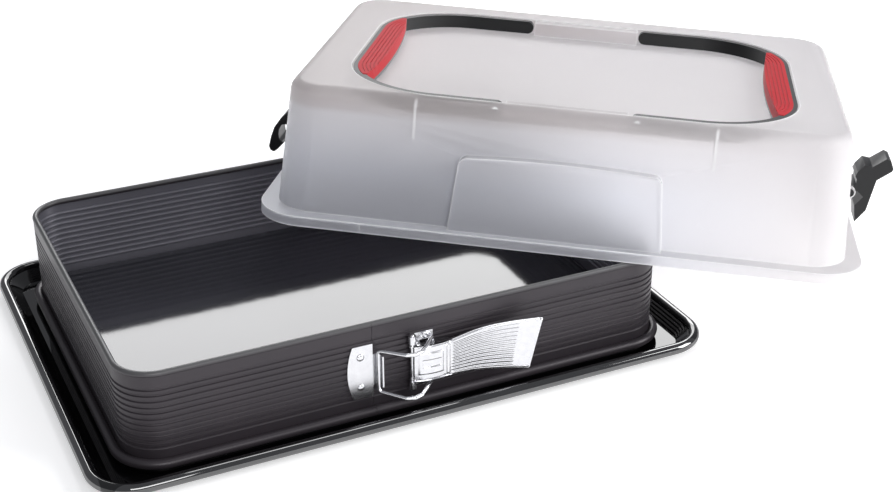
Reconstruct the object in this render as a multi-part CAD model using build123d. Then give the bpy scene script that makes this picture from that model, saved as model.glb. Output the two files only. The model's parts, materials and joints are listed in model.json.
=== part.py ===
from build123d import *
import os

os.makedirs("parts", exist_ok=True)

# Baking pan with lid: an enamelled tray, a sprung side ring with a clasp, and a carrying hood.
# Millimetres, +Z up, -Y the clasp side. Every part is drawn about the middle of the tray, then
# moved so that the origin lies in the flat underside of the front channel, on its middle line.

# Tray: a raised floor with a flat channel round it, a bank and a rolled rim
tray_w = 420.0
tray_d = 310.0
tray_corner_r = 30.0
tray_sheet = 1.0
tray_rim_h = 11.9
roll_r = 3.75
bank_w = 7.9
floor_h = 10.5
floor_edge_r = 1.5
floor_side_gap = 1.3
foot_line = 3.0

# Side ring: one sprung band, its ends bridged by a strip
channel_end = 26.0
channel_side = 25.0
ring_w = tray_w - 2 * channel_end
ring_d = tray_d - 2 * channel_side
ring_corner_r = 26.0
ring_top = 68.2
ring_sheet = 0.8
ring_lift = 0.1
rim_r = 2.0
rim_proud = 0.4
foot_bead_r = 3.2
foot_bead_z = 7.0
bead_sink = 0.4
bead_slot = 1.4
groove_count = 11
groove_pitch = 4.0
groove_w = 1.8
groove_deep = 0.8
groove_top = 56.5
left_end_x = -29.0
right_end_x = -8.0
strip_from_x = -70.0
strip_lap = 10.0
strip_gap = 0.05
end_gap = 0.15

# Clasp: catch plate, wire bail, lever and anchor bracket, all about one height
clasp_z = 35.5
plate_t = 1.0
catch_w = 17.0
catch_half = 18.6
catch_bow = 3.6
hook_half = 11.0
hook_reach = 6.4
wire_r = 1.25
bar_x = -26.5
bar_out = 3.9
hook_clear = 0.3
rivet_r = 1.4
rivet_head_r = 2.6
rivet_head_h = 1.0
rivet_rise = 10.7
rivet_inset = 8.2
pin_r = 1.3
pin_half = 20.0
pin_x = -3.6
pin_out = 3.4
knuckle_r = 2.4
press_gap = 0.02
run_gap = 0.06
ear_from = 13.5
ear_to = 19.0
ear_w = 15.0
bracket_w = 6.0
bracket_gap = 1.4
anchor_rivet_x = 6.5
lever_half = 12.4
lever_t = 1.2
flange_r = 2.2
eye_x = 10.4
eye_out = 2.7
bail_half = 15.4
bail_bar_half = 14.5
bail_bend_r = 2.6
web_top = 3.4
neck_x = 18.0
tip_half = 17.4
tip_top_x = 81.5
tip_slant = 9.0
# Lever seen from above: x and distance off the wall, between the pin and the tip
lever_line = [(8.0, 9.0), (22.0, 8.2), (40.0, 7.0), (60.0, 9.6)]
tip_out = 15.0
# Half height of the blade between the neck and the tip
blade_line = [(32.0, 14.0), (50.0, 16.0)]
# Outer and wall-side corners of the lever's flanges, from the pin's side to the eye's
flange_outer = [(8.0, 8.4), (24.0, 7.2)]
flange_inner = [(20.0, 3.2), (12.6, 2.1)]
# Bail seen from above between its two bends
bail_line = [(2.2, 12.3), (-3.5, 17.8), (-8.7, 19.3), (-14.0, 17.4)]

# Hood in its own frame: origin in the middle of its open rim, x wide, y deep, z up
hood_gap = 0.5
hood_w = tray_w - 2 * (2 * roll_r + hood_gap)
hood_d = tray_d - 2 * (2 * roll_r + hood_gap)
hood_h = 92.9
hood_wall = 1.5
skirt_h = 7.0
skirt_r = 32.0
ledge_w = 10.5
wall_foot_r = 28.0
wall_top_r = 25.0
taper_x = 6.5
taper_y = 6.0
shoulder_r = 9.0
basin_end = 49.0
basin_front = 23.0
basin_back = 42.5
basin_w = hood_w - 2 * basin_end
basin_d = hood_d - basin_front - basin_back
basin_y = (basin_front - basin_back) / 2
basin_r = 65.0
basin_deep = 11.0
boss_t = 8.0
boss_drop = 1.0
bulge_foot_half = 70.7
bulge_top_half = 65.7
bulge_top_z = 57.0
bulge_arch = 2.5
bulge_out = 5.5
bulge_draft = 2.5
bulge_corner_r = 6.0
rib_x = 97.5
rib_t = 1.5
rib_deep = 2.2
rib_long = 28.0
gate_x = -128.7
gate_w = 1.4
gate_proud = 0.35
hood_turn = 33.79
hood_side_tilt = 2.79
hood_back_tilt = 4.95
hood_x = 191.29
hood_y = 19.72
hood_lean_z = 58.69
hood_tilt = Rot(0, 0, -hood_turn) * Rot(0, hood_side_tilt, 0) * Rot(-hood_back_tilt, 0, 0)
hood_place = Pos(hood_x, hood_y, hood_lean_z) * hood_tilt

# Folding handles in the hood's basin
handle_gap = 1.2
arm_t = 5.0
arm_h = 9.6
arm_end_x = 41.0
peg_r = 2.5
peg_long = 3.3
floor_gap = 0.7
bend_deep = 20.0
bend_inner_x = basin_w / 2 - bend_deep
bend_bow = 6.0
bend_half = 94.0
grip_border = 3.0
grip_half = 80.0
grip_t = 8.0
grip_proud = 0.6
grip_ribs = 5
rib_line_w = 0.7
rib_line_deep = 0.8
rib_line_short = 6.0

# End clips on the hood
clip_out = 0.3
clip_x = hood_w / 2 + clip_out
clip_z = 18.2
clip_w = 22.0
clip_pin_r = 2.4
clip_head_r = 3.0
clip_head_t = 1.0
clip_eye_r = 3.4
clip_ear_t = 3.0
clip_ear_r = 4.2
clip_side_gap = 0.3
left_clip_open = 30.0
# Right-hand clip seen from the front: x and z from its pin, from the eye round to the finger
clip_outline = [
    (1.8, 3.2),
    (4.0, 6.3),
    (3.9, 9.1),
    (2.7, 11.3),
    (3.8, 14.7),
    (8.1, 20.4),
    (13.5, 19.6),
    (22.4, 26.5),
    (25.6, 25.2),
    (28.1, 19.4),
    (27.4, 17.5),
    (17.8, 9.8),
    (16.7, 3.1),
    (13.9, -13.6),
    (7.2, -23.2),
    (5.3, -10.6),
    (10.4, -3.7),
    (5.4, 0.6),
    (1.8, -2.4),
]


def around(section, width, depth, corner_r):
    """Carry a section (x outward from the outline, y up) round a rounded rectangle."""
    half_w = width / 2
    half_d = depth / 2
    pieces = []
    for side in (-1, 1):
        long_side = Plane(origin=(0, side * half_d, 0), x_dir=(0, side, 0), z_dir=(side, 0, 0))
        short_side = Plane(origin=(side * half_w, 0, 0), x_dir=(side, 0, 0), z_dir=(0, -side, 0))
        pieces.append(extrude(long_side * section, half_w - corner_r, both=True))
        pieces.append(extrude(short_side * section, half_d - corner_r, both=True))
    for side_x in (-1, 1):
        for side_y in (-1, 1):
            centre_x = side_x * (half_w - corner_r)
            centre_y = side_y * (half_d - corner_r)
            start = Plane(origin=(side_x * half_w, centre_y, 0), x_dir=(side_x, 0, 0), z_dir=(0, -side_x, 0))
            turn = Axis((centre_x, centre_y, 0), (0, 0, side_x * side_y))
            pieces.append(revolve(start * section, turn, 90))
    return pieces[0] + pieces[1:]


def outline(points):
    """A flat face from a closed row of points."""
    return make_face(Polyline(*points, close=True))


def slab(x0, x1, y0, y1, z0, z1):
    """A box given by its limits along each axis."""
    middle = Pos((x0 + x1) / 2, (y0 + y1) / 2, (z0 + z1) / 2)
    return middle * Box(x1 - x0, y1 - y0, z1 - z0)


def write(shape, name):
    """Move a part from the tray's middle to the part's frame, and write it."""
    export_step(Pos(0, ring_d / 2 + foot_line, 0) * shape, "parts/" + name + ".step")


# Tray: rolled rim, bank, flat channel and the raised floor inside the ring
flat_edge = 2 * roll_r + bank_w
inner_ring_w = ring_w - 2 * (rim_proud + ring_sheet)
inner_ring_d = ring_d - 2 * (rim_proud + ring_sheet)
inner_ring_r = ring_corner_r - rim_proud - ring_sheet


def raised_floor(inset):
    """The raised floor as a block, or its hollow underside where it is inset by the sheet."""
    gap = 2 * (floor_side_gap + inset)
    face = RectangleRounded(inner_ring_w - gap, inner_ring_d - gap, inner_ring_r - gap / 2)
    block = extrude(face, floor_h - inset)
    return fillet(block.edges().group_by(Axis.Z)[-1], floor_edge_r - inset / 2)


def make_tray():
    roll_z = tray_rim_h - roll_r
    roll = Pos(-roll_r, roll_z) * (Circle(roll_r) - Circle(roll_r - tray_sheet))
    roll -= Pos(-1.5 * roll_r, roll_z - roll_r / 2) * Rectangle(roll_r, roll_r)
    bank = outline([
        (-flat_edge - tray_sheet, 0),
        (-flat_edge + tray_sheet / 2, 0),
        (-2 * roll_r + tray_sheet, roll_z - tray_sheet / 2),
        (-2 * roll_r + tray_sheet, roll_z + tray_sheet / 2),
        (-2 * roll_r, roll_z + tray_sheet / 2),
        (-2 * roll_r, roll_z),
        (-flat_edge, tray_sheet),
        (-flat_edge - tray_sheet, tray_sheet),
    ])
    rim = around(bank + roll, tray_w, tray_d, tray_corner_r)
    flat = RectangleRounded(tray_w - 2 * flat_edge, tray_d - 2 * flat_edge, tray_corner_r - flat_edge)
    return rim + extrude(flat, tray_sheet) + raised_floor(0) - raised_floor(tray_sheet)


# Side ring: ribbed band with a rolled rim and a foot bead
foot_z = tray_sheet + ring_lift
wall_y = -(ring_d / 2 - rim_proud)


def front_section(x):
    """Plane across the front wall at one x: its own x points outward, its y up."""
    return Plane(origin=(x, -ring_d / 2, 0), x_dir=(0, -1, 0), z_dir=(-1, 0, 0))


def wave(face_u, top_z, low_z):
    """The ribbed face of the band, from the top down, at one distance from the outline."""
    points = [(face_u, top_z)]
    for index in range(groove_count):
        middle = groove_top - index * groove_pitch
        points.append((face_u, middle + groove_w / 2))
        points.append((face_u - groove_deep, middle + groove_w / 6))
        points.append((face_u - groove_deep, middle - groove_w / 6))
        points.append((face_u, middle - groove_w / 2))
    points.append((face_u, low_z))
    return points


def ribbed_sheet(face_u, top_z, low_z=foot_z):
    return outline(wave(face_u, top_z, low_z) + wave(face_u - ring_sheet, top_z, low_z)[::-1])


def foot_bead(wall_u):
    """Hollow bead round the foot, with its groove open to the inside."""
    centre_u = -rim_proud + foot_bead_r - bead_sink
    bead = Pos(centre_u, foot_bead_z) * Circle(foot_bead_r)
    neck = Pos((wall_u + centre_u) / 2, foot_bead_z) * Rectangle(centre_u - wall_u, foot_bead_r)
    slot_from = wall_u - 2 * ring_sheet
    slot = Pos((slot_from + centre_u) / 2, foot_bead_z) * Rectangle(centre_u - slot_from, bead_slot)
    return bead + neck, Pos(centre_u, foot_bead_z) * Circle(foot_bead_r - ring_sheet) + slot


def rim_wire():
    return Pos(-rim_r, ring_top - rim_r) * Circle(rim_r)


def make_ring():
    solid, hollow = foot_bead(-rim_proud)
    section = ribbed_sheet(-rim_proud, ring_top - rim_r) + rim_wire() + solid - hollow
    ring = around(section, ring_w, ring_d, ring_corner_r)
    gap = slab(left_end_x, right_end_x, -ring_d, -ring_d / 4, -1, ring_top + 1)
    return ring - gap - rivet_shanks(catch_rivets(), rivet_r) - rivet_shanks(anchor_rivets(), rivet_r)


def make_strip():
    strip_u = -rim_proud - ring_sheet - strip_gap
    top_z = ring_top - 2 * rim_r - strip_gap
    lap = ribbed_sheet(strip_u, top_z, foot_bead_z + bead_slot)
    solid, hollow = foot_bead(strip_u)
    bridge = ribbed_sheet(strip_u, top_z + rim_r) + rim_wire() + solid - hollow
    lap_end_x = right_end_x + strip_lap
    strip = extrude(front_section(lap_end_x) * lap, lap_end_x - strip_from_x)
    bridge_w = right_end_x - left_end_x - 2 * end_gap
    strip += extrude(front_section(right_end_x - end_gap) * bridge, bridge_w)
    return strip - rivet_shanks(catch_rivets(), rivet_r) - rivet_shanks(anchor_rivets(), rivet_r)


# Clasp plates and rivets on the front wall
def out(distance):
    """The y of a point that stands off the front wall by a distance."""
    return wall_y - distance


def upright(x, y, radius, low, high):
    return Pos(x, y, (low + high) / 2) * Cylinder(radius, high - low)


def catch_rivets():
    return [(left_end_x - rivet_inset, clasp_z + side * rivet_rise) for side in (-1, 1)]


def anchor_rivets():
    return [(anchor_rivet_x, clasp_z + side * (ear_from + ear_to) / 2) for side in (-1, 1)]


def rivet_shanks(places, radius):
    depth = 2 * (2 * ring_sheet + strip_gap) + groove_deep + plate_t
    shanks = [Pos(x, out(0), z) * Rot(90, 0, 0) * Cylinder(radius, 2 * depth) for x, z in places]
    return shanks


def make_rivets(places, inner_depth):
    rivets = []
    for x, z in places:
        profile = outline([
            (0, -inner_depth - rivet_head_h),
            (rivet_head_r, -inner_depth - rivet_head_h / 2),
            (rivet_head_r, -inner_depth),
            (rivet_r, -inner_depth),
            (rivet_r, plate_t),
            (rivet_head_r, plate_t),
            (rivet_head_r * 0.7, plate_t + rivet_head_h * 0.8),
            (0, plate_t + rivet_head_h),
        ])
        axis_plane = Plane(origin=(x, out(0), z), x_dir=(1, 0, 0), z_dir=(0, 0, -1))
        rivets.append(revolve(axis_plane * profile, Axis((x, out(0), z), (0, 1, 0)), 360))
    return Compound(children=rivets)


def make_catch():
    bow = catch_w - catch_bow
    edge = Polyline((left_end_x - bow, -catch_half), (left_end_x, -catch_half),
                    (left_end_x, catch_half), (left_end_x - bow, catch_half))
    arc = ThreePointArc((left_end_x - bow, catch_half), (left_end_x - catch_w, 0),
                        (left_end_x - bow, -catch_half))
    face = make_face([edge, arc])
    wall_plane = Plane(origin=(0, out(0), clasp_z), x_dir=(1, 0, 0), z_dir=(0, -1, 0))
    plate = extrude(wall_plane * face, plate_t)
    hook_x = bar_x + wire_r + hook_clear
    low = clasp_z - hook_half
    high = clasp_z + hook_half
    plate += slab(left_end_x, hook_x + plate_t, out(plate_t), out(0), low, high)
    plate += slab(hook_x, hook_x + plate_t, out(hook_reach), out(0), low, high)
    return plate - rivet_shanks(catch_rivets(), rivet_r)


def make_bracket():
    far_x = pin_x + ear_w
    bracket = slab(pin_x + 1, pin_x + bracket_w, out(plate_t), out(0), clasp_z - ear_to, clasp_z + ear_to)
    for side in (-1, 1):
        low = clasp_z + min(side * ear_from, side * ear_to)
        high = clasp_z + max(side * ear_from, side * ear_to)
        bracket += slab(pin_x, far_x, out(plate_t), out(0), low, high)
        bracket += upright(pin_x, out(pin_out), knuckle_r, low, high)
        bracket += slab(pin_x, pin_x + knuckle_r, out(pin_out - press_gap), out(0), low, high)
    bore = upright(pin_x, out(pin_out), pin_r + press_gap, 0, ring_top)
    return bracket - bore - rivet_shanks(anchor_rivets(), rivet_r)


def make_pin():
    pin = upright(pin_x, out(pin_out), pin_r, clasp_z - pin_half, clasp_z + pin_half)
    return fillet(pin.edges(), pin_r * 0.6)


# Lever: a channel at the pin that flattens into a flared handle
def lever_edge(shift):
    """One face of the lever seen from above, from the pin to the tip."""
    stations = [(pin_x, pin_out + web_top)] + lever_line + [(tip_top_x, tip_out)]
    return [(x, out(distance - shift)) for x, distance in stations]


def flange_section():
    """A flange seen from above, with the holes for the pin and for the bail's end."""
    wall_side = out(pin_out - flange_r)
    corners = [(pin_x - flange_r, out(pin_out)), (pin_x, out(pin_out + web_top - lever_t / 2))]
    corners += [(x, out(distance)) for x, distance in flange_outer + flange_inner]
    corners += [(eye_x, out(eye_out - flange_r)), (pin_x + bracket_w + bracket_gap, wall_side)]
    corners.append((pin_x, wall_side))
    flange = outline(corners)
    for x, distance, bore_r in ((pin_x, pin_out, pin_r), (eye_x, eye_out, wire_r)):
        flange += Pos(x, out(distance)) * Circle(flange_r)
        flange -= Pos(x, out(distance)) * Circle(bore_r + run_gap)
    return flange


def make_lever():
    outer = Spline(*lever_edge(0))
    inner = Spline(*lever_edge(lever_t))
    ends = [Line(outer @ 0, inner @ 0), Line(outer @ 1, inner @ 1)]
    web = extrude(make_face([outer, inner] + ends), 2 * tip_half, both=True)
    tip_low_x = tip_top_x - tip_slant
    top = Spline((neck_x, lever_half), *blade_line, (tip_top_x, tip_half))
    low = Spline((neck_x, -lever_half), *[(x, -half) for x, half in blade_line], (tip_low_x, -tip_half))
    back = Polyline((neck_x, -lever_half), (pin_x, -lever_half), (pin_x, lever_half), (neck_x, lever_half))
    face = make_face([top, low, back, Line(top @ 1, low @ 1)])
    lever = web & extrude(Plane(origin=(0, 0, 0), x_dir=(1, 0, 0), z_dir=(0, -1, 0)) * face, 2 * ring_d)
    for side in (-1, 1):
        middle = Pos(0, 0, side * (lever_half - lever_t / 2))
        lever += extrude(middle * flange_section(), lever_t / 2, both=True)
    return Pos(0, 0, clasp_z) * lever


def make_bail():
    """Wire loop: both ends turn into the lever's eyes, the far bar lies in the catch."""
    half = [(eye_x, out(eye_out), lever_half - lever_t), (eye_x, out(eye_out), bail_half)]
    half += [(x, out(distance), bail_half) for x, distance in bail_line]
    half.append((bar_x, out(bar_out), bail_bar_half))
    points = half + [(x, y, -z) for x, y, z in reversed(half)]
    path = FilletPolyline(*points, radius=bail_bend_r)
    start = Plane(origin=points[0], z_dir=(0, 0, 1))
    return Pos(0, 0, clasp_z) * sweep(start * Circle(wire_r), path=path)


# Hood: skirt, ledge, tapered walls, clasp bulge, handle basin, clip ears
def wall_block(inset, low_z, high_z):
    """The tapered wall's outer shape, moved inward by an inset."""
    foot_w = hood_w - 2 * (ledge_w + inset)
    foot_d = hood_d - 2 * (ledge_w + inset)
    low = Pos(0, 0, low_z) * RectangleRounded(foot_w, foot_d, wall_foot_r - inset)
    top_w = foot_w - 2 * taper_x
    top_d = foot_d - 2 * taper_y
    high = Pos(0, 0, high_z) * RectangleRounded(top_w, top_d, wall_top_r - inset)
    block = loft([low, high], ruled=True)
    return fillet(block.edges().group_by(Axis.Z)[-1], shoulder_r - inset)


def bulge_block(inset, low_z):
    """The raised front panel that makes room for the clasp."""
    foot = bulge_foot_half - inset
    head = bulge_top_half - inset
    top_z = bulge_top_z - inset
    sides = Polyline((-head, top_z), (-foot, low_z), (foot, low_z), (head, top_z))
    arch = ThreePointArc((-head, top_z), (0, top_z + bulge_arch), (head, top_z))
    face = make_face([sides, arch])
    face = fillet(face.vertices().group_by(Axis.Y)[-1], bulge_corner_r - inset)
    front = extrude(Plane(origin=(0, 0, 0), x_dir=(1, 0, 0), z_dir=(0, -1, 0)) * face, hood_d)
    wall_d = hood_d / 2 - ledge_w
    back_y = -wall_d + 2 * taper_y
    head_z = bulge_top_z + bulge_arch
    side_view = outline([
        (back_y, low_z),
        (-wall_d - bulge_out + inset, low_z),
        (-wall_d - bulge_out + bulge_draft + inset, head_z),
        (back_y, head_z),
    ])
    return front & extrude(Plane.YZ * side_view, hood_w / 2, both=True)


floor_top_z = hood_h - basin_deep
pivot_z = floor_top_z + floor_gap + arm_h / 2
pivot_x = arm_end_x + arm_h / 2


def basin_shape(grow, low_z, high_z):
    face = RectangleRounded(basin_w + 2 * grow, basin_d + 2 * grow, basin_r + grow)
    return extrude(Pos(0, basin_y, low_z) * face, high_z - low_z)


def clip_ears(side):
    """Two ears on the ledge that carry the clip's pin at one end of the hood."""
    profile = outline([
        (hood_w / 2 - ledge_w - taper_x / 2, skirt_h - hood_wall / 2),
        (hood_w / 2 - hood_wall, skirt_h - hood_wall / 2),
        (clip_x + clip_ear_r, clip_z),
        (clip_x, clip_z + clip_ear_r * 0.9),
        (hood_w / 2 - ledge_w - taper_x / 2, clip_z),
    ]) + Pos(clip_x, clip_z) * Circle(clip_ear_r)
    profile -= Pos(clip_x, clip_z) * Circle(clip_pin_r + run_gap)
    outer_y = clip_w / 2 + clip_side_gap + clip_ear_t
    section = Plane(origin=(0, outer_y, 0), x_dir=(1, 0, 0), z_dir=(0, -1, 0)) * profile
    ears = extrude(section, clip_ear_t)
    ears += mirror(ears, Plane.XZ)
    return ears if side > 0 else mirror(ears, Plane.YZ)


def handle_boss(side):
    """Thickened stretch of the basin's long wall between the two handles' pegs."""
    low_z = floor_top_z - hood_wall / 2
    boss_half = arm_end_x - handle_gap
    ends_y = [side * (basin_d / 2 - boss_t), side * (basin_d / 2 + hood_wall)]
    boss = slab(-boss_half, boss_half, min(ends_y), max(ends_y), low_z, hood_h - boss_drop)
    return Pos(0, basin_y, 0) * boss


def inner_rib(side):
    """Upright rib behind the front wall, run up into the roof."""
    back_y = -(hood_d / 2 - ledge_w - taper_y - hood_wall)
    x = side * rib_x
    top_z = hood_h - hood_wall / 2
    rib = slab(x - rib_t / 2, x + rib_t / 2, back_y - taper_y / 2, back_y + rib_deep,
               hood_h - hood_wall - rib_long, top_z)
    return rib & wall_block(hood_wall / 2, skirt_h, top_z)


def make_hood():
    inner_z = skirt_h - hood_wall
    inner_w = hood_w - 2 * hood_wall
    inner_d = hood_d - 2 * hood_wall
    hood = extrude(RectangleRounded(hood_w, hood_d, skirt_r), skirt_h)
    hood += wall_block(0, skirt_h, hood_h)
    hood += bulge_block(0, inner_z)
    inner = extrude(RectangleRounded(inner_w, inner_d, skirt_r - hood_wall), inner_z)
    inner += wall_block(hood_wall, inner_z, hood_h - hood_wall)
    inner -= basin_shape(hood_wall, floor_top_z - hood_wall, hood_h)
    inner += bulge_block(hood_wall, inner_z)
    hood -= inner + basin_shape(0, floor_top_z, hood_h + hood_wall)
    front_y = -hood_d / 2
    hood += slab(gate_x - gate_w / 2, gate_x + gate_w / 2, front_y - gate_proud, front_y + hood_wall / 2,
                 hood_wall, skirt_h - hood_wall / 2)
    for side in (-1, 1):
        hood += handle_boss(side)
        hood += clip_ears(side)
        hood += inner_rib(side)
        for end in (-1, 1):
            bore = Pos(end * pivot_x, basin_y + side * basin_d / 2, pivot_z) * Rot(90, 0, 0)
            hood -= bore * Cylinder(peg_r + run_gap, 2 * (peg_long + hood_wall))
    return hood


# Handles: a U frame each side, with a soft grip let into its bend
low_arm_z = floor_top_z + floor_gap
pocket_z = low_arm_z + arm_h - grip_t + grip_proud


def basin_line(gap):
    """The basin's outline on its floor, moved inward by a gap."""
    return RectangleRounded(basin_w - 2 * gap, basin_d - 2 * gap, basin_r - gap)


def bend_area(inset):
    """The crescent between the bend's outer edge, moved in by an inset, and its inner arc."""
    end_x = -bend_inner_x - bend_bow
    arc = ThreePointArc((end_x, -bend_half), (-bend_inner_x, 0), (end_x, bend_half))
    back = Polyline((end_x, bend_half), (-basin_w, bend_half), (-basin_w, -bend_half), (end_x, -bend_half))
    return basin_line(handle_gap + inset) & make_face([arc, back])


def grip_area():
    return bend_area(grip_border) & (Pos(-basin_w / 2, 0) * Rectangle(basin_w, 2 * grip_half))


def handle_frame():
    keep = Pos(-pivot_x - basin_w / 2, 0) * Rectangle(basin_w, basin_d)
    arms = (basin_line(handle_gap) - basin_line(handle_gap + arm_t)) & keep
    frame = extrude(Pos(0, 0, low_arm_z) * arms, arm_h)
    frame += extrude(Pos(0, 0, low_arm_z) * bend_area(0), arm_h)
    for side in (-1, 1):
        arm_y = side * (basin_d / 2 - handle_gap - arm_t / 2)
        peg_y = side * (basin_d / 2 - handle_gap + (peg_long - arm_t / 2) / 2)
        frame += Pos(-pivot_x, arm_y, pivot_z) * Rot(90, 0, 0) * Cylinder(arm_h / 2, arm_t)
        frame += Pos(-pivot_x, peg_y, pivot_z) * Rot(90, 0, 0) * Cylinder(peg_r, peg_long + arm_t / 2)
    return frame - extrude(Pos(0, 0, pocket_z) * grip_area(), arm_h)


def handle_grip():
    grip = extrude(Pos(0, 0, pocket_z) * grip_area(), grip_t)
    step = (basin_w / 2 - handle_gap - grip_border - bend_inner_x) / (grip_ribs + 1)
    keep = Pos(-basin_w / 2, 0) * Rectangle(basin_w, 2 * (grip_half - rib_line_short))
    for index in range(1, grip_ribs + 1):
        gap = handle_gap + grip_border + index * step
        line = (basin_line(gap) - basin_line(gap + rib_line_w)) & keep
        grip -= extrude(Pos(0, 0, pocket_z + grip_t - rib_line_deep) * line, 2 * rib_line_deep)
    return grip


# Clips: a finger lever on a pin at each end
def clip_body():
    """Right-hand clip: a moulded block of its outline, bored for the pin."""
    face = outline(clip_outline) + Circle(clip_eye_r) - Circle(clip_pin_r + press_gap)
    plane = Plane(origin=(0, clip_w / 2, 0), x_dir=(1, 0, 0), z_dir=(0, -1, 0))
    return extrude(plane * face, clip_w)


def clip_pin():
    half = clip_w / 2 + clip_side_gap + clip_ear_t + clip_side_gap
    pin = Cylinder(clip_pin_r, 2 * half)
    for side in (-1, 1):
        pin += Pos(0, 0, side * (half + clip_head_t / 2)) * Cylinder(clip_head_r, clip_head_t)
    return Rot(90, 0, 0) * pin


def place_end_piece(shape, side):
    """Put a piece drawn about the right-hand pin at its end of the hood."""
    if side > 0:
        return hood_place * Pos(clip_x, 0, clip_z) * shape
    turned = Rot(0, -left_clip_open, 0) * shape
    return hood_place * Pos(-clip_x, 0, clip_z) * mirror(turned, Plane.YZ)


band_depth = ring_sheet + groove_deep
lap_depth = band_depth + strip_gap + ring_sheet
write(make_tray(), "base_tray")
write(make_ring(), "side_ring")
write(make_strip(), "seam_strip")
write(make_catch(), "catch_plate")
write(make_rivets(catch_rivets(), lap_depth), "catch_rivets")
write(make_bracket(), "anchor_bracket")
write(make_rivets(anchor_rivets(), band_depth), "anchor_rivets")
write(make_pin(), "lever_pivot_pin")
write(make_lever(), "clasp_lever")
write(make_bail(), "wire_bail")
write(hood_place * make_hood(), "hood_shell")
frame = handle_frame()
grip = handle_grip()
basin_place = hood_place * Pos(0, basin_y, 0)
write(basin_place * frame, "handle_frame_left")
write(basin_place * grip, "handle_grip_left")
write(basin_place * mirror(frame, Plane.YZ), "handle_frame_right")
write(basin_place * mirror(grip, Plane.YZ), "handle_grip_right")
for side, name in ((-1, "left"), (1, "right")):
    write(place_end_piece(clip_body(), side), "clip_" + name)
    write(place_end_piece(clip_pin(), side), "clip_pin_" + name)
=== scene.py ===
import json
import math
import bmesh
import bpy
from mathutils import Matrix, Vector

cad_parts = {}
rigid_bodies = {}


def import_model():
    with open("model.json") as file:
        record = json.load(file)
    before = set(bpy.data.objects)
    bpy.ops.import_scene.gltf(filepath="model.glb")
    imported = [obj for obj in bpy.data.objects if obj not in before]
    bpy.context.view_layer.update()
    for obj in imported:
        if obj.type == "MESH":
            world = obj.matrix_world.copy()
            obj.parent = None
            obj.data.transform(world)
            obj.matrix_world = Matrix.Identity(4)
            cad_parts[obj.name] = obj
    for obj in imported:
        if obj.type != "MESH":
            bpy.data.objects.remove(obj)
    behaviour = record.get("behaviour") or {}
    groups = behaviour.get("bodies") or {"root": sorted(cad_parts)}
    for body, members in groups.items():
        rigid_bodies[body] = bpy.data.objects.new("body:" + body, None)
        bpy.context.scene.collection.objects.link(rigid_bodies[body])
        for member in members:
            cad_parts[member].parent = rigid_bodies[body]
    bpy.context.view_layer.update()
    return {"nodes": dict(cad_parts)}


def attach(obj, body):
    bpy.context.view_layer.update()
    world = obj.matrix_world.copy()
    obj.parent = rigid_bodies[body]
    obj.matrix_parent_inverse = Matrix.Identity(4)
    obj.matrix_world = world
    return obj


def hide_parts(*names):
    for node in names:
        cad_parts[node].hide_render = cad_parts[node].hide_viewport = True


# Oblong springform baking pan on its drip tray, with a frosted carrying hood leaning on the ring.
# Metres, +Z up, -Y the clasp side. The origin is under the middle of the tray's front channel.

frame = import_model()
scene = bpy.context.scene


# Camera.
# The pan is seen from its front left corner, from a little under a metre away and half a metre up.
camera_lens = bpy.data.cameras.new("camera")
camera_lens.sensor_width = 36.0
camera_lens.lens = 61.36
camera = bpy.data.objects.new("camera", camera_lens)
scene.collection.objects.link(camera)
camera_place, heading, downward = (-0.3315, -0.7406, 0.5291), -25.4, 27.0
look = Matrix.Rotation(math.radians(heading), 4, "Z") @ Matrix.Rotation(math.radians(90 - downward), 4, "X")
camera.matrix_world = Matrix.Translation(camera_place) @ look
scene.camera = camera
scene.view_settings.view_transform = "Standard"


# Studio floor and light.
# A wide white sweep that glows a little, a dim tent, and soft panels behind, overhead, at the right
# and in front. The pan's floor mirrors the panel behind, over the back wall of the ring.
def colour(code):
    """A '#RRGGBB' sRGB colour as linear values."""
    parts = [int(code[i:i + 2], 16) / 255 for i in (1, 3, 5)]
    return [c / 12.92 if c <= 0.04045 else ((c + 0.055) / 1.055) ** 2.4 for c in parts] + [1.0]


def add(tree, kind, inputs=None, **settings):
    """Adds a node. Each of its inputs is set to a value or linked to another node's output."""
    node = tree.nodes.new(kind)
    for name, value in settings.items():
        setattr(node, name, value)
    for name, value in (inputs or {}).items():
        if isinstance(value, bpy.types.NodeSocket):
            tree.links.new(value, node.inputs[name])
        else:
            node.inputs[name].default_value = value
    return node


def start_material(name):
    """An empty material: its node tree and the Object coordinates in metres."""
    material = bpy.data.materials.new(name)
    material.use_nodes = True
    material.node_tree.nodes.clear()
    where = add(material.node_tree, "ShaderNodeTexCoord").outputs["Object"]
    return material, material.node_tree, where


def end_material(tree, surface):
    """Joins a Principled shader with these inputs to the material's output."""
    shader = add(tree, "ShaderNodeBsdfPrincipled", surface)
    add(tree, "ShaderNodeOutputMaterial", {"Surface": shader.outputs["BSDF"]})


def add_piece(name, mesh, material):
    """Puts a mesh into the scene as a piece with one material."""
    mesh.materials.clear()
    mesh.materials.append(material)
    piece = bpy.data.objects.new(name, mesh)
    scene.collection.objects.link(piece)
    return piece


def soft_panel(name, size, power, place, target):
    """A rectangular area light that faces a point."""
    data = bpy.data.lights.new(name, "AREA")
    data.shape = "RECTANGLE"
    data.size, data.size_y = size
    data.energy = power
    panel = bpy.data.objects.new(name, data)
    panel.location = place
    panel.rotation_euler = (Vector(target) - Vector(place)).to_track_quat("-Z", "Y").to_euler()
    scene.collection.objects.link(panel)


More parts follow.
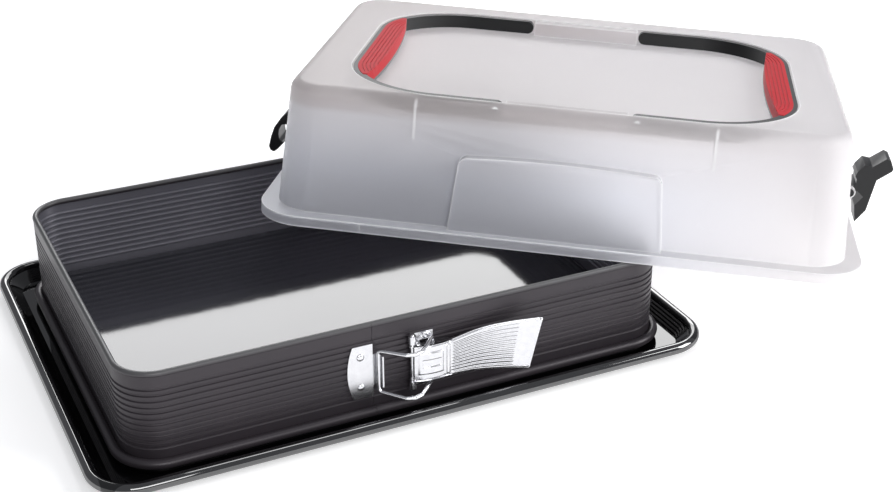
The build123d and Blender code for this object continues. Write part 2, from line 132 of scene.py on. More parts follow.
sweep_paper, tree, where = start_material("matt white sweep paper")
fibre = add(tree, "ShaderNodeTexNoise", {"Vector": where, "Scale": 900.0, "Detail": 2.0})
tone = add(tree, "ShaderNodeMix", {0: fibre.outputs["Fac"], 6: colour("#F6F6F7"), 7: colour("#FCFCFC")},
           data_type="RGBA")
end_material(tree, {"Base Color": tone.outputs[2], "Roughness": 0.9, "Emission Color": colour("#FFFFFF"),
                    "Emission Strength": 0.4})
reach, under_tray = 6.0, 0.0004
sweep = bpy.data.meshes.new("sweep")
sweep.from_pydata([(-reach, -reach, 0), (reach, -reach, 0), (reach, reach, 0), (-reach, reach, 0)], [],
                  [(0, 1, 2, 3)])
sweep.transform(Matrix.Translation((0, 0, -under_tray)))
add_piece("sweep", sweep, sweep_paper)

tent = bpy.data.worlds.new("white tent")
tent.use_nodes = True
sky = tent.node_tree.nodes["Background"].inputs
sky["Color"].default_value = colour("#F6F8FF")
sky["Strength"].default_value = 0.33
scene.world = tent
soft_panel("panel behind", (1.9, 1.26), 42.0, (1.17, 2.6, 1.67), (0.1, 0.1, 0.05))
soft_panel("panel overhead", (0.6, 0.6), 4.0, (0.6, 0.1, 2.3), (0.0, 0.1, 0.0))
soft_panel("panel right", (1.2, 1.4), 48.0, (1.9, -1.1, 1.2), (0.15, 0.1, 0.05))
soft_panel("panel front", (1.6, 0.9), 27.0, (-0.4, -2.3, 1.3), (0.0, 0.2, 0.03))


# Drip tray.
# Sheet steel pressed with a raised floor and a channel, its edge rolled round a wire, then dipped
# and fired in black glass enamel. The ring stands in the channel round the raised floor.
def dress(nodes, material):
    """Gives CAD nodes that stay as they are their finish."""
    for node in nodes:
        for slot in frame["nodes"][node].material_slots:
            slot.material = material


# Glass enamel: a deep black mirror, a little wavy, with a few pale specks fired into it.
enamel, tree, where = start_material("black vitreous enamel")
waves = add(tree, "ShaderNodeTexNoise", {"Vector": where, "Scale": 90.0, "Detail": 1.0})
specks = add(tree, "ShaderNodeTexVoronoi", {"Vector": where, "Scale": 160.0})
speck = add(tree, "ShaderNodeMapRange", {"Value": specks.outputs["Distance"], "From Min": 0.05,
                                         "From Max": 0.09, "To Min": 1.0, "To Max": 0.0})
glaze = add(tree, "ShaderNodeMix", {0: speck.outputs["Result"], 6: colour("#060607"), 7: colour("#222226")},
            data_type="RGBA")
# The raised floor, where the baking goes, has its mirror blurred, and its greyer colour is painted
# reflection.
# On the rolled rim the enamel lies thicker and glassier. Half sizes are along x and y.
tray_middle, floor_height = 0.133, 0.0097
floor_half, rim_half = (0.1835, 0.1295), (0.2042, 0.1492)
place = add(tree, "ShaderNodeSeparateXYZ", {"Vector": where})
from_middle = add(tree, "ShaderNodeMath", {0: place.outputs["Y"], 1: tray_middle}, operation="SUBTRACT")
raised = add(tree, "ShaderNodeMath", {0: place.outputs["Z"], 1: floor_height}, operation="GREATER_THAN")
floor, rim = raised.outputs[0], 0.0
for distance, half, edge in zip((place.outputs["X"], from_middle.outputs[0]), floor_half, rim_half):
    either_way = add(tree, "ShaderNodeMath", {0: distance}, operation="ABSOLUTE")
    within = add(tree, "ShaderNodeMath", {0: either_way.outputs[0], 1: half}, operation="LESS_THAN")
    floor = add(tree, "ShaderNodeMath", {0: floor, 1: within.outputs[0]}, operation="MULTIPLY").outputs[0]
    beyond = add(tree, "ShaderNodeMath", {0: either_way.outputs[0], 1: edge}, operation="GREATER_THAN")
    rim = add(tree, "ShaderNodeMath", {0: rim, 1: beyond.outputs[0]}, operation="MAXIMUM").outputs[0]
glassy = add(tree, "ShaderNodeMapRange", {"Value": rim, "To Min": 1.62, "To Max": 2.2})
# On the raised floor the colour turns grey: painted reflection.
glaze_and_painted_reflection = add(tree, "ShaderNodeMix", {0: floor, 6: glaze.outputs[2], 7: colour("#34343A")}, data_type="RGBA")
shine = add(tree, "ShaderNodeMapRange", {"Value": waves.outputs["Fac"], "To Min": 0.02, "To Max": 0.05})
blurred = add(tree, "ShaderNodeMapRange", {"Value": waves.outputs["Fac"], "To Min": 0.06, "To Max": 0.09})
gloss = add(tree, "ShaderNodeMix", {0: floor, 2: shine.outputs["Result"], 3: blurred.outputs["Result"]})
peel = add(tree, "ShaderNodeBump", {"Height": waves.outputs["Fac"], "Strength": 0.5, "Distance": 0.00004})
end_material(tree, {"Base Color": glaze_and_painted_reflection.outputs[2], "Roughness": gloss.outputs[0],
                    "IOR": glassy.outputs["Result"], "Normal": peel.outputs["Normal"]})
dress(["base_tray"], enamel)


# Side ring and its lap strip.
# One band of steel sheet, rolled with eleven grooves and a wired rim, bent round the corners and
# sprung together over the strip. Both are spray-coated with a dark non-stick finish.
coat, tree, where = start_material("dark non-stick coat")
grain = add(tree, "ShaderNodeTexNoise", {"Vector": where, "Scale": 1400.0, "Detail": 3.0})
cloud = add(tree, "ShaderNodeTexNoise", {"Vector": where, "Scale": 22.0, "Detail": 2.0})
tint = add(tree, "ShaderNodeMix", {0: cloud.outputs["Fac"], 6: colour("#302D31"), 7: colour("#383237")},
           data_type="RGBA")
height = add(tree, "ShaderNodeSeparateXYZ", {"Vector": where})
# The rolled rim at the top is painted paler grey: a painted highlight.
rim_highlight_mask = add(tree, "ShaderNodeMapRange", {"Value": height.outputs["Z"], "From Min": 0.0655, "From Max": 0.0682})
coat_with_rim_highlight = add(tree, "ShaderNodeMix", {0: rim_highlight_mask.outputs["Result"], 6: tint.outputs[2], 7: colour("#5B5B5C")},
               data_type="RGBA")
# Inside the band the coat is painted paler grey: painted light on the inner wall. The band's nodes mark the
# faces that look inward.
inner_face = add(tree, "ShaderNodeAttribute", attribute_name="inside")
coat_with_painted_light = add(tree, "ShaderNodeMix", {0: inner_face.outputs["Fac"], 6: coat_with_rim_highlight.outputs[2],
                                         7: colour("#67666E")}, data_type="RGBA")
satin = add(tree, "ShaderNodeMapRange", {"Value": grain.outputs["Fac"], "To Min": 0.34, "To Max": 0.46})
tooth = add(tree, "ShaderNodeBump", {"Height": grain.outputs["Fac"], "Strength": 0.25, "Distance": 0.00003})
# The inward faces get painted light, the rim a painted highlight.
end_material(tree, {"Base Color": coat_with_painted_light.outputs[2], "Roughness": satin.outputs["Result"],
                    "Metallic": 0.25, "Normal": tooth.outputs["Normal"]})
dress(["seam_strip"], coat)


def run_tree(name, sizes, shape, result):
    """Starts a Geometry Nodes tree with a mesh input and named sizes. Returns it, its inputs and its end."""
    tree = bpy.data.node_groups.new(name, "GeometryNodeTree")
    tree.interface.new_socket(shape, in_out="INPUT", socket_type="NodeSocketGeometry")
    for size, value in sizes.items():
        kind = "NodeSocketInt" if isinstance(value, int) else "NodeSocketFloat"
        tree.interface.new_socket(size, in_out="INPUT", socket_type=kind)
    tree.interface.new_socket(result, in_out="OUTPUT", socket_type="NodeSocketGeometry")
    return tree, tree.nodes.new("NodeGroupInput").outputs, tree.nodes.new("NodeGroupOutput")


def grow(name, tree, sizes, seed_mesh, material, body, nodes):
    """Runs the tree on a mesh and keeps the result as one plain piece on a body."""
    seed = add_piece(name + "_seed", seed_mesh, material)
    modifier = seed.modifiers.new("nodes", "NODES")
    modifier.node_group = tree
    for item in tree.interface.items_tree:
        if item.name in sizes:
            modifier[item.identifier] = sizes[item.name]
    evaluated = seed.evaluated_get(bpy.context.evaluated_depsgraph_get())
    mesh = bpy.data.meshes.new_from_object(evaluated)
    seed.modifiers.clear()
    bpy.data.objects.remove(seed)
    mesh.set_sharp_from_angle(angle=math.radians(40))
    piece = add_piece(name, mesh, material)
    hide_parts(*nodes)
    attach(piece, body)


# The band's section is drawn once, with its grooves as a rule of height, and carried along the path.
# It is drawn with X inward and Y up, and turned over because a swept section's Y points down.
ring_sizes = {"Corner radius": 0.026, "Face inset": 0.00034, "Foot height": 0.0011, "Rim height": 0.0662,
              "Rim radius": 0.002, "Top groove": 0.0565, "Groove pitch": 0.004, "Grooves": 11,
              "Groove depth": 0.0009, "Sheet": 0.0008, "Bead radius": 0.0032, "Bead height": 0.007}
tree, size, end = run_tree("ribbed band", ring_sizes, "Path", "Ring")
path = add(tree, "GeometryNodeMeshToCurve", {"Mesh": size["Path"]})
bends = add(tree, "GeometryNodeFilletCurve", {"Curve": path.outputs["Curve"], "Radius": size["Corner radius"],
                                             "Count": 14}, mode="POLY")
level = add(tree, "GeometryNodeSetCurveNormal", {"Curve": bends.outputs["Curve"]}, mode="Z_UP")
foot = add(tree, "ShaderNodeCombineXYZ", {"X": size["Face inset"], "Y": size["Foot height"]})
top = add(tree, "ShaderNodeCombineXYZ", {"X": size["Face inset"], "Y": size["Rim height"]})
upright = add(tree, "GeometryNodeCurvePrimitiveLine", {"Start": foot.outputs[0], "End": top.outputs[0]})
fine = add(tree, "GeometryNodeResampleCurve", {"Curve": upright.outputs["Curve"], "Count": 300})
up = add(tree, "ShaderNodeSeparateXYZ", {0: add(tree, "GeometryNodeInputPosition").outputs["Position"]})
from_top = add(tree, "ShaderNodeMath", {0: size["Top groove"], 1: up.outputs["Y"]}, operation="SUBTRACT")
pitches = add(tree, "ShaderNodeMath", {0: from_top.outputs[0], 1: size["Groove pitch"]}, operation="DIVIDE")
turn = add(tree, "ShaderNodeMath", {0: pitches.outputs[0], 1: 2 * math.pi}, operation="MULTIPLY")
swing = add(tree, "ShaderNodeMath", {0: turn.outputs[0]}, operation="COSINE")
groove = add(tree, "ShaderNodeMapRange", {"Value": swing.outputs[0], "From Min": 0.05, "From Max": 0.9},
             interpolation_type="SMOOTHSTEP")
below = add(tree, "ShaderNodeMath", {0: pitches.outputs[0], 1: -0.5}, operation="GREATER_THAN")
last = add(tree, "ShaderNodeMath", {0: size["Grooves"], 1: 0.5}, operation="SUBTRACT")
above = add(tree, "ShaderNodeMath", {0: pitches.outputs[0], 1: last.outputs[0]}, operation="LESS_THAN")
only = add(tree, "ShaderNodeMath", {0: below.outputs[0], 1: above.outputs[0]}, operation="MULTIPLY")
cut = add(tree, "ShaderNodeMath", {0: groove.outputs["Result"], 1: size["Groove depth"]},
          operation="MULTIPLY")
sink = add(tree, "ShaderNodeMath", {0: cut.outputs[0], 1: only.outputs[0]}, operation="MULTIPLY")
inward = add(tree, "ShaderNodeCombineXYZ", {"X": sink.outputs[0]})
face = add(tree, "GeometryNodeSetPosition", {"Geometry": fine.outputs["Curve"], "Offset": inward.outputs[0]})
stood = add(tree, "GeometryNodeTransform", {"Geometry": face.outputs[0], "Rotation": (0, 0, math.pi)})
band = add(tree, "GeometryNodeCurveToMesh", {"Curve": level.outputs["Curve"],
                                             "Profile Curve": stood.outputs[0]})
back = add(tree, "GeometryNodeExtrudeMesh", {"Mesh": band.outputs["Mesh"], "Offset Scale": size["Sheet"],
                                             "Individual": False}, mode="FACES")
marked = add(tree, "GeometryNodeStoreNamedAttribute", {"Geometry": back.outputs["Mesh"], "Name": "inside",
                                                       "Value": 1.0}, domain="FACE", data_type="FLOAT")
outer = add(tree, "GeometryNodeFlipFaces", {"Mesh": band.outputs["Mesh"]})
rounds = []
for radius, height, inset in (("Rim radius", "Rim height", 1.0), ("Bead radius", "Bead height", -0.75)):
    wire = add(tree, "GeometryNodeCurvePrimitiveCircle", {"Resolution": 20, "Radius": size[radius]})
    deep = add(tree, "ShaderNodeMath", {0: size[radius], 1: inset}, operation="MULTIPLY")
    spot = add(tree, "ShaderNodeCombineXYZ", {"X": deep.outputs[0], "Y": size[height]})
    moved = add(tree, "GeometryNodeTransform", {"Geometry": wire.outputs["Curve"],
                                                "Translation": spot.outputs[0]})
    turned = add(tree, "GeometryNodeTransform", {"Geometry": moved.outputs[0], "Rotation": (0, 0, math.pi)})
    rounds.append(add(tree, "GeometryNodeCurveToMesh", {"Curve": level.outputs["Curve"], "Fill Caps": True,
                                                        "Profile Curve": turned.outputs[0]}))
shell = add(tree, "GeometryNodeJoinGeometry", {"Geometry": marked.outputs["Geometry"]})
tree.links.new(outer.outputs["Mesh"], shell.inputs["Geometry"])
sealed = add(tree, "GeometryNodeMergeByDistance", {"Geometry": shell.outputs[0], "Distance": 0.000001})
whole = add(tree, "GeometryNodeJoinGeometry", {"Geometry": sealed.outputs["Geometry"]})
for tube in rounds:
    tree.links.new(tube.outputs["Mesh"], whole.inputs["Geometry"])
smooth = add(tree, "GeometryNodeSetShadeSmooth", {"Geometry": whole.outputs[0]})
plain = add(tree, "GeometryNodeRealizeInstances", {"Geometry": smooth.outputs[0]})
painted = add(tree, "GeometryNodeSetMaterial", {"Geometry": plain.outputs[0], "Material": coat})
tree.links.new(painted.outputs[0], end.inputs["Ring"])

half_length, front_wall, back_wall, seam_right, seam_left = 0.184, 0.003, 0.263, -0.0287, -0.029
ring_path = bpy.data.meshes.new("ring_path")
ring_path.from_pydata([(seam_right, front_wall, 0), (half_length, front_wall, 0), (half_length, back_wall, 0),
                       (-half_length, back_wall, 0), (-half_length, front_wall, 0),
                       (seam_left, front_wall, 0)], [(i, i + 1) for i in range(5)], [])
grow("ribbed_band", tree, ring_sizes, ring_path, coat, "ring", ["side_ring"])


# Clasp: catch plate, anchor bracket, pin, bail and lever.
# Stamped from steel strip and bent from wire, then bright nickel plated, and riveted to the ring.
nickel, tree, where = start_material("bright nickel plate")
drawn = add(tree, "ShaderNodeMapping", {"Vector": where, "Scale": (120.0, 900.0, 2600.0)})
lines = add(tree, "ShaderNodeTexNoise", {"Vector": drawn.outputs["Vector"], "Scale": 1.0, "Detail": 3.0})
haze = add(tree, "ShaderNodeTexNoise", {"Vector": where, "Scale": 260.0, "Detail": 2.0})
metal = add(tree, "ShaderNodeMix", {0: haze.outputs["Fac"], 6: colour("#D6D6DA"), 7: colour("#EAEAEC")},
            data_type="RGBA")
polish = add(tree, "ShaderNodeMapRange", {"Value": lines.outputs["Fac"], "To Min": 0.16, "To Max": 0.32})
scratch = add(tree, "ShaderNodeBump", {"Height": lines.outputs["Fac"], "Strength": 0.2, "Distance": 0.00002})
end_material(tree, {"Base Color": metal.outputs[2], "Roughness": polish.outputs["Result"], "Metallic": 1.0,
                    "Normal": scratch.outputs["Normal"]})
dress(["wire_bail", "lever_pivot_pin"], nickel)


def rounded_piece(name, mesh, width, material):
    """Puts a mesh into the scene as a piece whose sharp edges are rounded by a width."""
    sharp = math.radians(32)
    mesh.shade_smooth()
    mesh.set_sharp_from_angle(angle=sharp)
    piece = add_piece(name, mesh, material)
    rounding = piece.modifiers.new("rounding", "BEVEL")
    rounding.width = width
    rounding.segments = 2
    rounding.limit_method = "ANGLE"
    rounding.angle_limit = sharp
    rounding.harden_normals = True
    return piece


def rounded_copy(node, body, width, material):
    """Stands a copy of a CAD node in its place, with merged points and rounded edges."""
    mesh = frame["nodes"][node].data.copy()
    shape = bmesh.new()
    shape.from_mesh(mesh)
    bmesh.ops.remove_doubles(shape, verts=shape.verts, dist=2e-6)
    bmesh.ops.dissolve_limit(shape, angle_limit=math.radians(0.5), verts=shape.verts, edges=shape.edges)
    shape.to_mesh(mesh)
    shape.free()
    piece = rounded_piece(node + "_rounded", mesh, width, material)
    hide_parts(node)
    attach(piece, body)


for node in ("catch_plate", "anchor_bracket"):
    rounded_copy(node, "ring", 0.00025, nickel)


# Rivets.
# Four soft steel rivets, domed outside and flattened inside the ring, hold the two clasp plates.
# One rivet end is turned here, and the nodes set it at both ends of all four.
rivet_sizes = {"Catch across": -0.0372, "Catch rise": 0.0107, "Anchor across": 0.0065, "Anchor rise": 0.01625,
               "Clasp height": 0.0355, "Outer face": 0.0024, "Catch inner": 0.00585, "Anchor inner": 0.005}
tree, size, end = run_tree("rivet rows", rivet_sizes, "Rivet", "Rivets")
rows = []
for plate in ("Catch", "Anchor"):
    across, rise, inner = (plate + word for word in (" across", " rise", " inner"))
    low = add(tree, "ShaderNodeMath", {0: size["Clasp height"], 1: size[rise]}, operation="SUBTRACT")
    gap = add(tree, "ShaderNodeMath", {0: size[rise], 1: 2.0}, operation="MULTIPLY")
    step = add(tree, "ShaderNodeCombineXYZ", {"Z": gap.outputs[0]})
    for face, half_turn in (("Outer face", 0.0), (inner, math.pi)):
        first = add(tree, "ShaderNodeCombineXYZ", {"X": size[across], "Y": size[face], "Z": low.outputs[0]})
        pair = add(tree, "GeometryNodeMeshLine", {"Count": 2, "Start Location": first.outputs[0],
                                                  "Offset": step.outputs[0]})
        rows.append(add(tree, "GeometryNodeInstanceOnPoints", {
            "Points": pair.outputs[0], "Instance": size["Rivet"], "Rotation": (0, 0, half_turn)}))
every = add(tree, "GeometryNodeJoinGeometry")
for row in rows:
    tree.links.new(row.outputs[0], every.inputs["Geometry"])
plain = add(tree, "GeometryNodeRealizeInstances", {"Geometry": every.outputs[0]})
plated = add(tree, "GeometryNodeSetMaterial", {"Geometry": plain.outputs[0], "Material": nickel})
tree.links.new(plated.outputs[0], end.inputs["Rivets"])

# The turned profile of one end: radius and height off the plate, from the dome's top to the shank.
dome = [(0.0, 1.05), (0.9, 0.98), (1.6, 0.78), (2.15, 0.5), (2.5, 0.16), (2.55, 0.0), (1.35, 0.0),
        (1.35, -1.7)]
turning = bmesh.new()
outline = [turning.verts.new((r / 1000, -h / 1000, 0)) for r, h in dome]
edges = [turning.edges.new(pair) for pair in zip(outline, outline[1:])]
bmesh.ops.spin(turning, geom=outline + edges, cent=(0, 0, 0), axis=(0, 1, 0), angle=2 * math.pi,
               steps=28, use_merge=True)
bmesh.ops.remove_doubles(turning, verts=turning.verts, dist=1e-6)
bmesh.ops.holes_fill(turning, edges=turning.edges, sides=0)
bmesh.ops.recalc_face_normals(turning, faces=turning.faces)
rivet_end = bpy.data.meshes.new("rivet_end")
turning.to_mesh(rivet_end)
turning.free()
rivet_end.shade_smooth()
grow("clasp_rivets", tree, rivet_sizes, rivet_end, nickel, "ring", ["catch_rivets", "anchor_rivets"])


# Clasp lever.
# Stamped and pressed from 1.2 mm strip: a raised tray with two bars over the pin, two steps across,
# fine ribs along the blade for the thumb, and a flared tip that bends away from the ring.
def along(stations, x):
    """A smooth line through stations (x, value), read at x."""
    last = len(stations) - 2
    index = max(i for i in range(last + 1) if i == 0 or stations[i][0] <= x)
    (x0, y0), (x1, y1) = stations[index], stations[index + 1]
    before = stations[max(index - 1, 0)]
    after = stations[min(index + 2, last + 1)]
    slope0 = (y1 - before[1]) / (x1 - before[0])
    slope1 = (after[1] - y0) / (after[0] - x0)
    span = x1 - x0
    t = (x - x0) / span
    return ((2 * t ** 3 - 3 * t ** 2 + 1) * y0 + (t ** 3 - 2 * t ** 2 + t) * span * slope0
            + (3 * t ** 2 - 2 * t ** 3) * y1 + (t ** 3 - t ** 2) * span * slope1)


def pressed(value, low, high, soft):
    """1 between two limits and 0 outside them, with soft shoulders."""
    def ease(q):
        q = min(max(q, 0.0), 1.0)
        return q * q * (3 - 2 * q)
    return ease((value - low) / soft + 0.5) * ease((high - value) / soft + 0.5)


# Millimetres: x along the ring, the blade's distance off the wall, and its half height. Its tip slants.
blade_start, blade_end, slant_start, tip_slant = -3.6, 81.5, 45.0, 9.0
off_wall = [(blade_start, 6.8), (8.0, 9.0), (22.0, 8.2), (40.0, 7.0), (60.0, 9.6), (blade_end, 15.0)]
half_height = [(blade_start, 12.4), (17.9, 12.4), (18.0, 12.4), (32.0, 14.0), (50.0, 16.0), (blade_end, 17.4)]
wall_face, clasp_z, strip_t = 3.4, 35.5, 1.2
# Pressed areas: height, limits and shoulder along x, half height and shoulder across. A raised tray, the
# hollow between its two bars, and the two steps.
areas = [(0.75, -1.0, 15.0, 1.0, 7.4, 1.2), (-0.7, 1.4, 13.4, 1.0, 2.6, 1.0),
         (0.7, 16.2, 17.6, 0.7, 10.5, 1.0), (0.5, 18.6, 19.8, 0.7, 10.5, 1.0)]
rib_pairs, rib_rise, lip_rise, hem_rise, edge_drop = 6, 0.34, 0.5, 0.3, 0.45


def relief(x, z, half):
    """How far the press raises the strip at one point."""
    lift = 0.0
    for height, start, stop, soft, area_half, shoulder in areas:
        lift += height * pressed(x, start, stop, soft) * pressed(z, -area_half, area_half, shoulder)
    ribs = 0.5 + 0.5 * math.cos(2 * math.pi * rib_pairs * z / half)
    lift += rib_rise * ribs * pressed(x, 21.5, 68.0, 3.0) * pressed(abs(z), -1.0, 0.93 * half, 0.6)
    hem = pressed(abs(z), half - 1.6, half - 0.6, 0.5) * (x > 20)
    lift += lip_rise * pressed(x, 80.2, 90.0, 0.8) + hem_rise * hem
    return lift - edge_drop * pressed(abs(z), half - 0.9, half + 5, 1.0)


columns, across = 160, 110
blade = bmesh.new()
faces = []
for depth in (0.0, strip_t):
    grid = []
    for i in range(columns + 1):
        x = blade_start + (blade_end - blade_start) * i / columns
        half = along(half_height, x)
        row = []
        for j in range(across + 1):
            t = 2 * j / across - 1
            skew = tip_slant * (1 - t) / 2 * max(0.0, (x - slant_start) / (blade_end - slant_start))
            off = along(off_wall, x) - depth + relief(x, half * t, half)
            point = (x - skew, wall_face - off, clasp_z + half * t)
            row.append(blade.verts.new([c / 1000 for c in point]))
        grid.append(row)
    faces.append(grid)
front, back = faces
for i in range(columns):
    for j in range(across):
        blade.faces.new((front[i][j], front[i + 1][j], front[i + 1][j + 1], front[i][j + 1]))
        blade.faces.new((back[i][j], back[i][j + 1], back[i + 1][j + 1], back[i + 1][j]))
    for j in (0, across):
        blade.faces.new((front[i][j], back[i][j], back[i + 1][j], front[i + 1][j]))
for j in range(across):
    for i in (0, columns):
        blade.faces.new((front[i][j], front[i][j + 1], back[i][j + 1], back[i][j]))
bmesh.ops.recalc_face_normals(blade, faces=blade.faces)
# The two flanges with their holes come from the CAD lever, so they fit the pin and the bail. All faces
# between them, or beyond their end, are left out.
flange_inside, flange_end = 11.15, 24.1
flanges = bmesh.new()
flanges.from_mesh(frame["nodes"]["clasp_lever"].data)
bmesh.ops.remove_doubles(flanges, verts=flanges.verts, dist=2e-6)
web = [face for face in flanges.faces
       if any(abs(v.co.z * 1000 - clasp_z) < flange_inside or v.co.x * 1000 > flange_end for v in face.verts)]
bmesh.ops.delete(flanges, geom=web, context="FACES")
flange_mesh = bpy.data.meshes.new("lever_flanges")
flanges.to_mesh(flange_mesh)
flanges.free()
blade.from_mesh(flange_mesh)
lever_mesh = bpy.data.meshes.new("pressed_lever")
blade.to_mesh(lever_mesh)
blade.free()
lever_mesh.shade_smooth()
lever_mesh.set_sharp_from_angle(angle=math.radians(50))
pressed_lever = add_piece("pressed_lever", lever_mesh, nickel)
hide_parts("clasp_lever")
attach(pressed_lever, "lever")


# Hood.
# One injection moulding of natural polypropylene, 1.5 mm thick, with a fine-blasted mould finish:
# it scatters the light that passes, so what stands behind it only darkens it softly.
def near_edge(tree, radius, full, most):
    """A mask of the sharp edges: 0 away from them, and most where the rounded normal turns fully."""
    soft = add(tree, "ShaderNodeBevel", {"Radius": radius}, samples=6)
    flat = add(tree, "ShaderNodeNewGeometry")
    facing = add(tree, "ShaderNodeVectorMath", {0: soft.outputs["Normal"], 1: flat.outputs["Normal"]},
                 operation="DOT_PRODUCT")
    mask = add(tree, "ShaderNodeMapRange", {"Value": facing.outputs["Value"], "From Min": 0.99,
                                            "From Max": full, "To Max": most})
    return mask.outputs["Result"]


# The hood's own frame, as it leans: its origin is in the middle of its open rim.
hood_place = Matrix.Translation((0.19129, 0.15272, 0.05869))
for degrees, axis in ((-33.79, "Z"), (2.79, "Y"), (-4.95, "X")):
    hood_place = hood_place @ Matrix.Rotation(math.radians(degrees), 4, axis)
frosted, tree, where = start_material("frosted natural polypropylene")
flow = add(tree, "ShaderNodeTexNoise", {"Vector": where, "Scale": 9.0, "Detail": 2.0})
blast = add(tree, "ShaderNodeTexNoise", {"Vector": where, "Scale": 2200.0, "Detail": 2.0})
milk_and_painted_light = add(tree, "ShaderNodeMix", {0: flow.outputs["Fac"], 6: colour("#E7E4E5"), 7: colour("#EEEBEC")},
           data_type="RGBA")
# Along its edges the wall is thicker to look through, and they are painted white as pale lines: partly this
# thickness, partly painted highlight.
edge = near_edge(tree, 0.0016, 0.86, 1.0)
# So is the front wall over its two inner ribs, one to each side of the hood's middle, with the same painted
# highlight.
rib_across, rib_faint, rib_full = 0.0975, 0.0014, 0.0004
in_hood = add(tree, "ShaderNodeMapping", {"Vector": where, "Location": hood_place.translation,
                                          "Rotation": hood_place.to_euler()}, vector_type="TEXTURE")
spot = add(tree, "ShaderNodeSeparateXYZ", {"Vector": in_hood.outputs["Vector"]})
aside = add(tree, "ShaderNodeMath", {0: spot.outputs["X"]}, operation="ABSOLUTE")
off_rib = add(tree, "ShaderNodeMath", {0: aside.outputs[0], 1: rib_across}, operation="SUBTRACT")
away = add(tree, "ShaderNodeMath", {0: off_rib.outputs[0]}, operation="ABSOLUTE")
rib = add(tree, "ShaderNodeMapRange", {"Value": away.outputs[0], "From Min": rib_faint,
                                       "From Max": rib_full, "To Max": 0.6}).outputs[0]
for axis, start, stop in (("Z", 0.0622, 0.0652), ("Z", 0.0915, 0.0885), ("Y", -0.118, -0.122)):
    here = add(tree, "ShaderNodeMapRange", {"Value": spot.outputs[axis], "From Min": start, "From Max": stop})
    rib = add(tree, "ShaderNodeMath", {0: rib, 1: here.outputs["Result"]}, operation="MULTIPLY").outputs[0]
# Painted light on the frosting: painted shade, warmer and darker, at the left of the top, and a little bluish
# painted light at the left of the walls. Each tint fades in between two heights and two places across.
for tint, no_height, full_height, no_side, full_side in (("#D6CFCE", 0.076, 0.08, 0.17, -0.19),
                                                         ("#F0F1F7", 0.085, 0.04, 0.16, 0.04)):
    height = add(tree, "ShaderNodeMapRange", {"Value": spot.outputs["Z"], "From Min": no_height,
                                              "From Max": full_height})
    side = add(tree, "ShaderNodeMapRange", {"Value": spot.outputs["X"], "From Min": no_side,
                                            "From Max": full_side})
    painted_light_share = add(tree, "ShaderNodeMath", {0: height.outputs["Result"], 1: side.outputs["Result"]},
                operation="MULTIPLY")
    milk_and_painted_light = add(tree, "ShaderNodeMix", {0: painted_light_share.outputs[0], 6: milk_and_painted_light.outputs[2], 7: colour(tint)},
               data_type="RGBA")
# Edges and ribs are made less clear and painted white: partly the thicker wall, partly painted highlight.
thick_wall_and_painted_highlight = add(tree, "ShaderNodeMath", {0: edge, 1: rib}, operation="MAXIMUM")
milk_and_painted_highlights = add(tree, "ShaderNodeMix", {0: thick_wall_and_painted_highlight.outputs[0], 6: milk_and_painted_light.outputs[2], 7: colour("#FFFFFF")},
           data_type="RGBA")
clear = add(tree, "ShaderNodeMapRange", {"Value": thick_wall_and_painted_highlight.outputs[0], "To Min": 0.76, "To Max": 0.25})
blur = add(tree, "ShaderNodeMapRange", {"Value": blast.outputs["Fac"], "To Min": 0.52, "To Max": 0.62})
frost = add(tree, "ShaderNodeBump", {"Height": blast.outputs["Fac"], "Strength": 0.2, "Distance": 0.00002})
end_material(tree, {"Base Color": milk_and_painted_highlights.outputs[2], "Roughness": blur.outputs["Result"], "IOR": 1.49,
                    "Transmission Weight": clear.outputs["Result"], "Coat Weight": 0.08,
                    "Coat Roughness": 0.3, "Normal": frost.outputs["Normal"]})
rounded_copy("hood_shell", "hood", 0.0005, frosted)


# Folding handles.
# Two U-shaped bars moulded in black ABS, which snap into the basin's long walls by their pegs. Their
# edges are painted grey: a painted highlight along the rounded edges.
black_abs, tree, where = start_material("black moulded ABS")
spark = add(tree, "ShaderNodeTexNoise", {"Vector": where, "Scale": 1800.0, "Detail": 2.0})
rubbed = add(tree, "ShaderNodeTexNoise", {"Vector": where, "Scale": 60.0, "Detail": 3.0})
black = add(tree, "ShaderNodeMix", {0: rubbed.outputs["Fac"], 6: colour("#08080A"), 7: colour("#101012")},
            data_type="RGBA")
# The edges are painted grey: a painted highlight.
black_with_painted_edge_highlight = add(tree, "ShaderNodeMix", {0: near_edge(tree, 0.0008, 0.85, 0.7), 6: black.outputs[2],
                                         7: colour("#3A3A3B")}, data_type="RGBA")
sheen = add(tree, "ShaderNodeMapRange", {"Value": rubbed.outputs["Fac"], "To Min": 0.3, "To Max": 0.44})
pits = add(tree, "ShaderNodeBump", {"Height": spark.outputs["Fac"], "Strength": 0.25, "Distance": 0.00003})
end_material(tree, {"Base Color": black_with_painted_edge_highlight.outputs[2], "Roughness": sheen.outputs["Result"], "IOR": 1.46,
                    "Normal": pits.outputs["Normal"]})
for side in ("left", "right"):
    rounded_copy("handle_frame_" + side, "handle_" + side, 0.0009, black_abs)


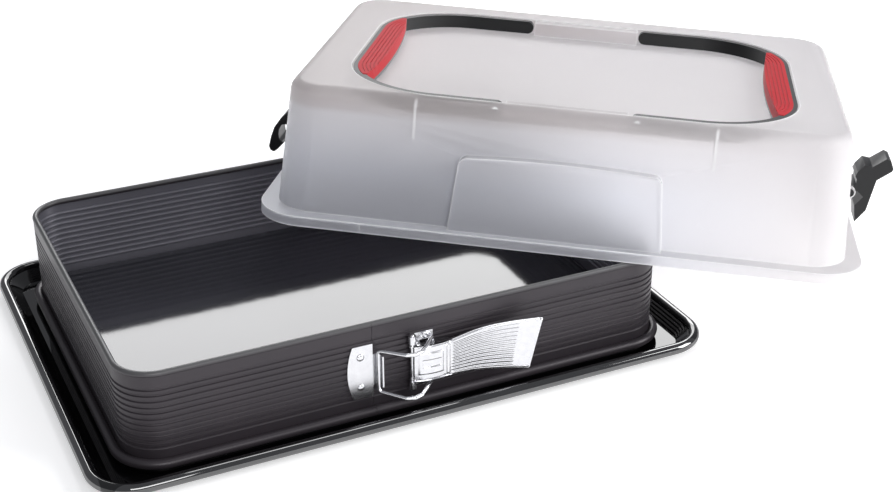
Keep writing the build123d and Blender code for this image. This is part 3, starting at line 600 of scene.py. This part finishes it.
# Grips.
# Soft-touch rubber moulded into the pocket of each handle's bend, with fine curved ribs.
red_rubber, tree, where = start_material("coral soft-touch rubber")
dust = add(tree, "ShaderNodeTexNoise", {"Vector": where, "Scale": 140.0, "Detail": 3.0})
skin = add(tree, "ShaderNodeTexNoise", {"Vector": where, "Scale": 2400.0, "Detail": 1.0})
coral = add(tree, "ShaderNodeMix", {0: dust.outputs["Fac"], 6: colour("#B3131F"), 7: colour("#BF202B")},
            data_type="RGBA")
matt = add(tree, "ShaderNodeMapRange", {"Value": dust.outputs["Fac"], "To Min": 0.5, "To Max": 0.64})
feel = add(tree, "ShaderNodeBump", {"Height": skin.outputs["Fac"], "Strength": 0.25, "Distance": 0.00003})
end_material(tree, {"Base Color": coral.outputs[2], "Roughness": matt.outputs["Result"],
                    "IOR": 1.4, "Specular IOR Level": 0.2, "Normal": feel.outputs["Normal"]})
for side in ("left", "right"):
    rounded_copy("handle_grip_" + side, "handle_" + side, 0.00025, red_rubber)


# End clips and their pins.
# Black mouldings like the handles: a finger lever that turns on a pin in the hood's two ears. The left
# one stands half open and shows its loop.
dress(["clip_pin_left", "clip_pin_right"], black_abs)
rounded_copy("clip_right", "clip_right", 0.0008, black_abs)

# The loop's outline, x and z in the hood's frame, and its half width, in millimetres.
loop = [(-200.8, 39.5), (-205.3, 40.0), (-207.4, 37.8), (-215.6, 28.9), (-220.6, 21.2), (-223.0, 13.5),
        (-224.4, 6.0), (-223.3, 3.0), (-220.4, 1.8), (-217.3, 4.6), (-212.6, 10.2), (-214.4, 10.6),
        (-216.6, 12.8), (-217.2, 16.0), (-216.9, 19.4), (-214.9, 23.6), (-211.6, 24.3), (-207.2, 22.4),
        (-205.5, 19.5), (-205.4, 17.0), (-204.2, 15.4), (-202.3, 14.8), (-200.4, 15.4), (-199.1, 17.0),
        (-198.9, 19.0), (-199.6, 21.2), (-199.9, 30.0)]
half_clip = 11.0
clip_shape = bmesh.new()
near, far = [[clip_shape.verts.new((x / 1000, y / 1000, z / 1000)) for x, z in loop]
             for y in (-half_clip, half_clip)]
clip_shape.faces.new(near)
clip_shape.faces.new(far[::-1])
for i in range(len(loop)):
    clip_shape.faces.new((near[i], near[i - 1], far[i - 1], far[i]))
bmesh.ops.recalc_face_normals(clip_shape, faces=clip_shape.faces)
clip_mesh = bpy.data.meshes.new("left_clip_loop")
clip_shape.to_mesh(clip_mesh)
clip_shape.free()
clip_mesh.transform(hood_place)
left_clip = rounded_piece("left_clip_loop", clip_mesh, 0.0007, black_abs)
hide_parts("clip_left")
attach(left_clip, "clip_left")


# Mirror reflections. The photograph's hood isn't mirrored in the pan's floor, so nothing that moves with it
# is here either.
for shown in scene.objects:
    if shown.name.startswith(("hood", "handle", "clip", "left_clip")):
        shown.visible_glossy = False
